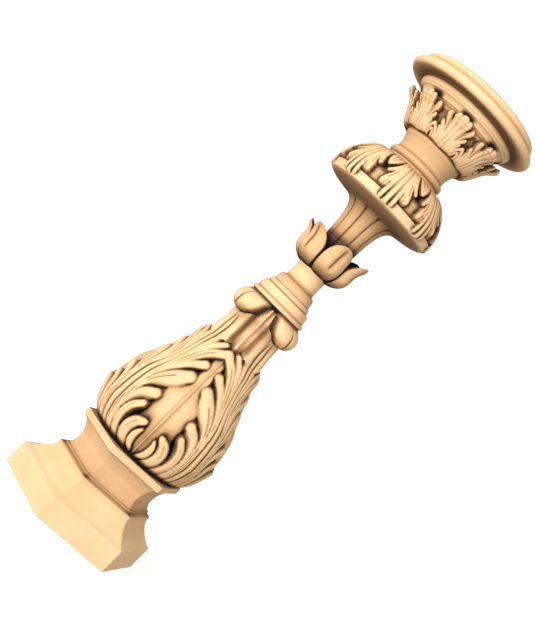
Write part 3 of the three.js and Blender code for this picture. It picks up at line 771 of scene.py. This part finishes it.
# Lobes of half a cup leaf: degrees from its midrib and heights in millimetres, tip last
CUP_LOBES = [
    dict(line=((0, 708.5), (0, 722), (0, 737), (0, 745.5)), wide=(4.2, 4, 5.4, 7), lift=10,
         full=0.6),
    dict(line=((5, 708.8), (4.8, 722), (5.2, 736), (6, 745.5)), wide=(3.2, 3.4, 4.2, 5), lift=9,
         full=0.6),
    dict(line=((8.6, 709), (8.2, 722), (10, 735), (14.2, 744.5)), wide=(3, 4, 5.8, 5.6), lift=3,
         vein=1, full=0.8),
    dict(line=((11.6, 709), (11.2, 718), (12.8, 726), (16.4, 733)), wide=(2.6, 3.4, 4, 3.4), lift=1,
         full=0.9),
    dict(line=((14.4, 709.4), (13.8, 715), (14.4, 720), (16.2, 725)), wide=(2.6, 3, 3, 2.4),
         lift=0.5),
    dict(line=((15.4, 710), (17, 716), (19.4, 721), (22.5, 724.6)), wide=(3.4, 3.6, 3.4, 3),
         lift=1),
    dict(line=((19, 709.4), (20, 713), (21.2, 716), (22.5, 717.6)), wide=(2.8, 2.8, 2.6, 2.2),
         lift=0),
]


def make_cup():
    """Cup: a flaring wall with eight leaves raised on it, whose feet are scalloped lobes and whose
    tongues curl out at the top, then a thin fillet and the recess under the cap."""
    crown_shell("leafed_cup", [
        (40, 701, 42, 700.5), (44.5, 704.5, 48, 703.5), (47.5, 707.5, 54, 706),
        (50.5, 711.5, 58.5, 710), (54.5, 717.5, 62.8, 716.5), (58, 723, 66.2, 723.5),
        (62.5, 730, 69.2, 731), (65.8, 737, 72, 738.4), (68.6, 744.4, 75, 745),
        (69.4, 745.6, 75.6, 746.6), (71.4, 746.4, 76, 748), (71.8, 747.6, 76.2, 749.4),
        (71.4, 748.8, 76.2, 751), (69, 749.6, 76, 752.4), (68.2, 752, 75, 753.6),
        (68.6, 757, 71, 757.4), (60, 759, 60, 759.5),
    ], CUP_LOBES, no_slit, ((702, 706), (751.3, 752.6)))


make_cup()


CAP_COLUMNS = 192


def cap_dusk(azimuth, radius, height):
    """Painted shade, darkest in the scooped hollow, and a painted shadow over each tongue of the
    cup.
    """
    scoop = 0.28 * np.exp(-((radius - 86) / 9) ** 2 - ((height - 774) / 3) ** 2)
    tongue = np.exp(-(signed_fold(azimuth, CROWN_LEAVES) / 8) ** 4) * (1 - smooth(height, 757, 763))
    return np.maximum(scoop, 0.6 * tongue)


def make_cap():
    """Cap: a hollow moulding and band over the cup, a scooped hollow, the round flange, a quirk and
    the smaller upper ring, flat on top."""
    make_lathe("moulded_cap", [
        (50, 753), (68.5, 754.4), (71.5, 755.4), (72.4, 757), (73.4, 759), (75.4, 761),
        (77.8, 762.2), (78.4, 763), (78.6, 764.4), (80, 766), (81.4, 768.4), (82, 770.6),
        (81.6, 771.8), (80.4, 772.2), (80.6, 773.4), (82.6, 775), (86.5, 776), (92, 776), (97, 775),
        (100, 774.6),
        *arc((101.8, 780.4), 6.0, -80, 72, 15), (100.6, 787.2), (98.8, 787.7), (97.7, 788.2),
        (97.7, 789.2), *arc((91.6, 793.6), 6.4, -34, 84, 13), (80, 800), (40, 800),
    ], CAP_COLUMNS, dusk=cap_dusk)


make_cap()

PLINTH_CORNER_CUT = 0.5
PLINTH_CREASE = 26


def make_plinth():
    """Hexagonal plinth: the profile of corner radii and heights is carried round a hexagon, whose
    radius at any azimuth is its apothem over the cosine of the angle from the middle of the face,
    with each corner cut back a little by a circle."""
    corner, height = np.array([
        (116.5, 0), (117, 0.5), (117, BLOCK_TOP - 0.3), (116.7, BLOCK_TOP),
        *curve([(116.7, BLOCK_TOP), (108.5, 40.5), (100.4, 46.2), (93, 52.8), (87.8, 59.2),
                (85.2, 65.4), (84.9, LIP_TOP)]),
        (84.6, 70.9), (78.4, 72.6), (78.0, 73.0), (77.9, 75.2), (77.5, 75.6), (74.4, 76.6),
        *curve([(74.2, COVE_FOOT), (71.6, 81), (70.1, 86), (69.8, 91), (70.5, 97), (72.2, 103),
                (75.4, 109.5), (79.8, 115.2), (84.4, 118.6), (86.9, 119.6)]),
        (87.6, 119.9), (88, 120.6), (88, 129.1), (87.6, PLATE_TOP), (60, PLATE_TOP),
    ]).T
    near = np.array([27.2, 28.4, 29.0, 29.4, 29.7, 29.9])
    half = np.concatenate([np.linspace(0, 26, 9)[1:], near])
    sector = np.concatenate([-half[::-1], [0], half])
    azimuth = np.concatenate([PLINTH_TURN + 60 * k + sector for k in range(PLINTH_SIDES)])
    azimuth = np.sort((azimuth + 180) % 360 - 180)
    away = signed_fold(azimuth, PLINTH_SIDES, PLINTH_TURN)
    radius = corner[:, None] * np.cos(np.radians(30)) / np.cos(np.radians(away))[None, :]
    radius = np.minimum(radius, corner[:, None] - PLINTH_CORNER_CUT)
    add_shell("hexagonal_plinth", azimuth, radius, height[:, None], crease=PLINTH_CREASE)


make_plinth()


# Half width of the floor in metres, and how much it glows, so that it is as white as the room
FLOOR_HALF = 12.0
FLOOR_GLOW = 0.55


def stage_floor():
    """A white floor under the stone, which throws no light of its own on it."""
    mesh = bpy.data.meshes.new("floor")
    half = FLOOR_HALF
    mesh.from_pydata([(-half, -half, 0), (half, -half, 0), (half, half, 0), (-half, half, 0)], [],
                     [(0, 1, 2, 3)])
    floor = bpy.data.objects.new("floor", mesh)
    bpy.context.scene.collection.objects.link(floor)
    paper = bpy.data.materials.new("white_paper")
    paper.use_nodes = True
    shader = paper.node_tree.nodes["Principled BSDF"]
    shader.inputs["Base Color"].default_value = linear("#FBFAF7")
    shader.inputs["Roughness"].default_value = 0.9
    shader.inputs["Emission Color"].default_value = (1, 1, 1, 1)
    shader.inputs["Emission Strength"].default_value = FLOOR_GLOW
    mesh.materials.append(paper)
    floor.visible_diffuse = False
    floor.visible_glossy = False


# The room's light on the stone, from below and from above, and its brightness to the camera
ROOM_LOW = 0.28
ROOM_HIGH = 0.5
ROOM_SEEN = 1.02

# Name, place in metres, width in metres and power in watts, and the point they all face
LAMPS = [
    ("camera_side", (-1.2, -2.1, 0.65), 0.9, 66.0),
    ("right_side", (2.0, -1.2, 0.3), 1.2, 16.0),
]
LAMP_AIM = (0, 0, 0.42)


def light_studio():
    """A white room: bright to the camera, softer as light on the stone, least from below, with a
    lamp beside the camera for the soft frontal light of the photograph, and a weaker and broader
    one on the right."""
    world = bpy.data.worlds.new("studio")
    bpy.context.scene.world = world
    world.use_nodes = True
    tree = world.node_tree
    back = tree.nodes["Background"]
    back.inputs["Color"].default_value = (1, 1, 1, 1)
    seen = add_node(tree, "ShaderNodeLightPath").outputs["Is Camera Ray"]
    toward = add_node(tree, "ShaderNodeTexCoord").outputs["Generated"]
    up = add_node(tree, "ShaderNodeSeparateXYZ", {"Vector": toward}).outputs["Z"]
    room = add_node(tree, "ShaderNodeMapRange", {"Value": up, "From Min": -0.7, "From Max": 0.5,
                    "To Min": ROOM_LOW, "To Max": ROOM_HIGH}, interpolation_type="SMOOTHSTEP")
    level = add_node(tree, "ShaderNodeMix", {"Factor": seen, "A": room.outputs["Result"],
                     "B": ROOM_SEEN})
    tree.links.new(level.outputs["Result"], back.inputs["Strength"])
    for name, place, size, power in LAMPS:
        data = bpy.data.lights.new(name, "AREA")
        data.size = size
        data.energy = power
        lamp = bpy.data.objects.new(name, data)
        lamp.location = place
        aim = Vector(LAMP_AIM) - Vector(place)
        lamp.rotation_euler = aim.to_track_quat("-Z", "Y").to_euler()
        bpy.context.scene.collection.objects.link(lamp)
    bpy.context.scene.view_settings.view_transform = "Standard"


stage_floor()
light_studio()

# Camera of the photograph: its lens in pixels, its place in units of 770 mm, and its angles in
# degrees. The stone leans 45 degrees in its frame.
UNIT_MM = 770.0
FOCAL_PX = 1038.9
IMAGE_WIDE = 537
CAMERA_AWAY = 1.859
CAMERA_UP = 0.528
ROLL, PITCH, YAW = 45.06, -0.53, -0.20


def place_camera():
    """Looks along the given pitch and yaw, then rolls about that line."""
    pitch, yaw, roll = np.radians([PITCH, YAW, ROLL])
    forward = Vector((np.sin(yaw) * np.cos(pitch), np.cos(yaw) * np.cos(pitch), np.sin(pitch)))
    right = Vector((np.cos(yaw), -np.sin(yaw), 0))
    up = right.cross(forward)
    across = right * np.cos(roll) + up * np.sin(roll)
    upward = up * np.cos(roll) - right * np.sin(roll)
    turn = Matrix((across, upward, -forward)).transposed().to_4x4()
    data = bpy.data.cameras.new("camera")
    data.sensor_fit = "HORIZONTAL"
    data.sensor_width = 36.0
    data.lens = FOCAL_PX * data.sensor_width / IMAGE_WIDE
    data.clip_end = 60
    camera = bpy.data.objects.new("camera", data)
    turn.translation = Vector((0, -CAMERA_AWAY, CAMERA_UP)) * UNIT_MM * MM
    camera.matrix_world = turn
    bpy.context.scene.collection.objects.link(camera)
    bpy.context.scene.camera = camera


place_camera()
